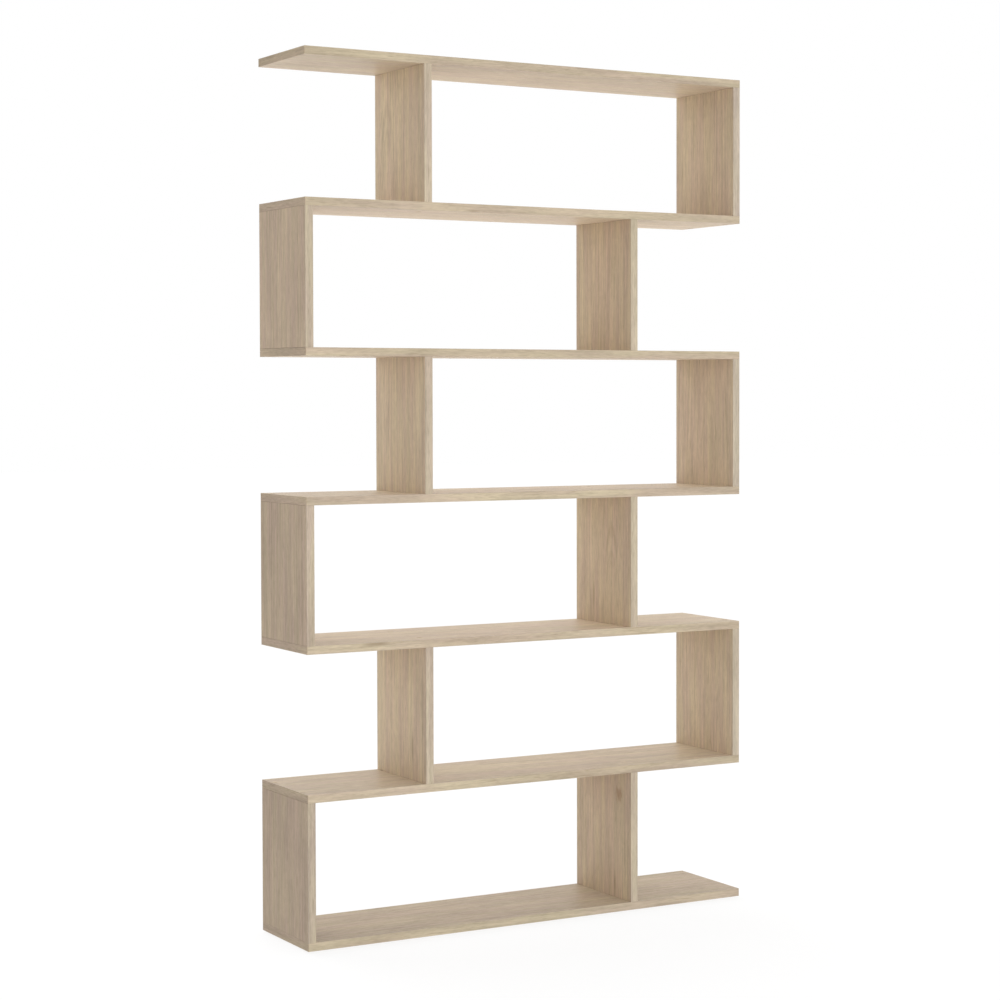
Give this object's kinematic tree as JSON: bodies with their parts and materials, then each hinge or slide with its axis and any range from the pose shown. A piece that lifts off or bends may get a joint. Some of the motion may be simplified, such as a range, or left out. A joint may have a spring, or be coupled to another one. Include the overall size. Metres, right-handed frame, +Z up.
{
  "type": "zigzag bookshelf",
  "caption": "Tall open bookshelf: long shelves on short uprights that stand to the left and right in turn, leaving open pockets at alternate ends.",
  "frame": {"origin": "on the floor, under the middle of the shelf", "axes": "+X along the shelves to the right as seen from the front, +Y from the front to the back, +Z up"},
  "size_m": [1.1, 0.25, 1.9245],
  "materials": {
    "oak_board": "matt pale oak print on faced chipboard",
    "oak_edging": "matt pale oak print on a thin plastic strip",
    "beech": "raw beech",
    "cap_film": "matt pale oak print on a stick-on cap",
    "zinc_steel": "zinc-plated steel",
    "glide_plastic": "moulded plastic"
  },
  "bodies": {
    "root": {"bottom_shelf": "oak_board", "shelf_2": "oak_board", "shelf_3": "oak_board", "shelf_4": "oak_board", "shelf_5": "oak_board", "shelf_6": "oak_board", "top_shelf": "oak_board", "bay_1_left_end_panel": "oak_board", "bay_1_right_divider": "oak_board", "bay_2_left_divider": "oak_board", "bay_2_right_end_panel": "oak_board", "bay_3_left_end_panel": "oak_board", "bay_3_right_divider": "oak_board", "bay_4_left_divider": "oak_board", "bay_4_right_end_panel": "oak_board", "bay_5_left_end_panel": "oak_board", "bay_5_right_divider": "oak_board", "bay_6_left_divider": "oak_board", "bay_6_right_end_panel": "oak_board", "bottom_shelf_edging": "oak_edging", "shelf_2_edging": "oak_edging", "shelf_3_edging": "oak_edging", "shelf_4_edging": "oak_edging", "shelf_5_edging": "oak_edging", "shelf_6_edging": "oak_edging", "top_shelf_edging": "oak_edging", "bay_1_left_end_panel_edging": "oak_edging", "bay_1_right_divider_edging": "oak_edging", "bay_2_left_divider_edging": "oak_edging", "bay_2_right_end_panel_edging": "oak_edging", "bay_3_left_end_panel_edging": "oak_edging", "bay_3_right_divider_edging": "oak_edging", "bay_4_left_divider_edging": "oak_edging", "bay_4_right_end_panel_edging": "oak_edging", "bay_5_left_end_panel_edging": "oak_edging", "bay_5_right_divider_edging": "oak_edging", "bay_6_left_divider_edging": "oak_edging", "bay_6_right_end_panel_edging": "oak_edging", "joint_screws": "zinc_steel", "bracket_screws": "zinc_steel", "glide_nails": "zinc_steel", "wall_bracket": "zinc_steel", "joint_dowels": "beech", "screw_caps": "cap_film", "floor_glides": "glide_plastic"}
  },
  "joints": []
}
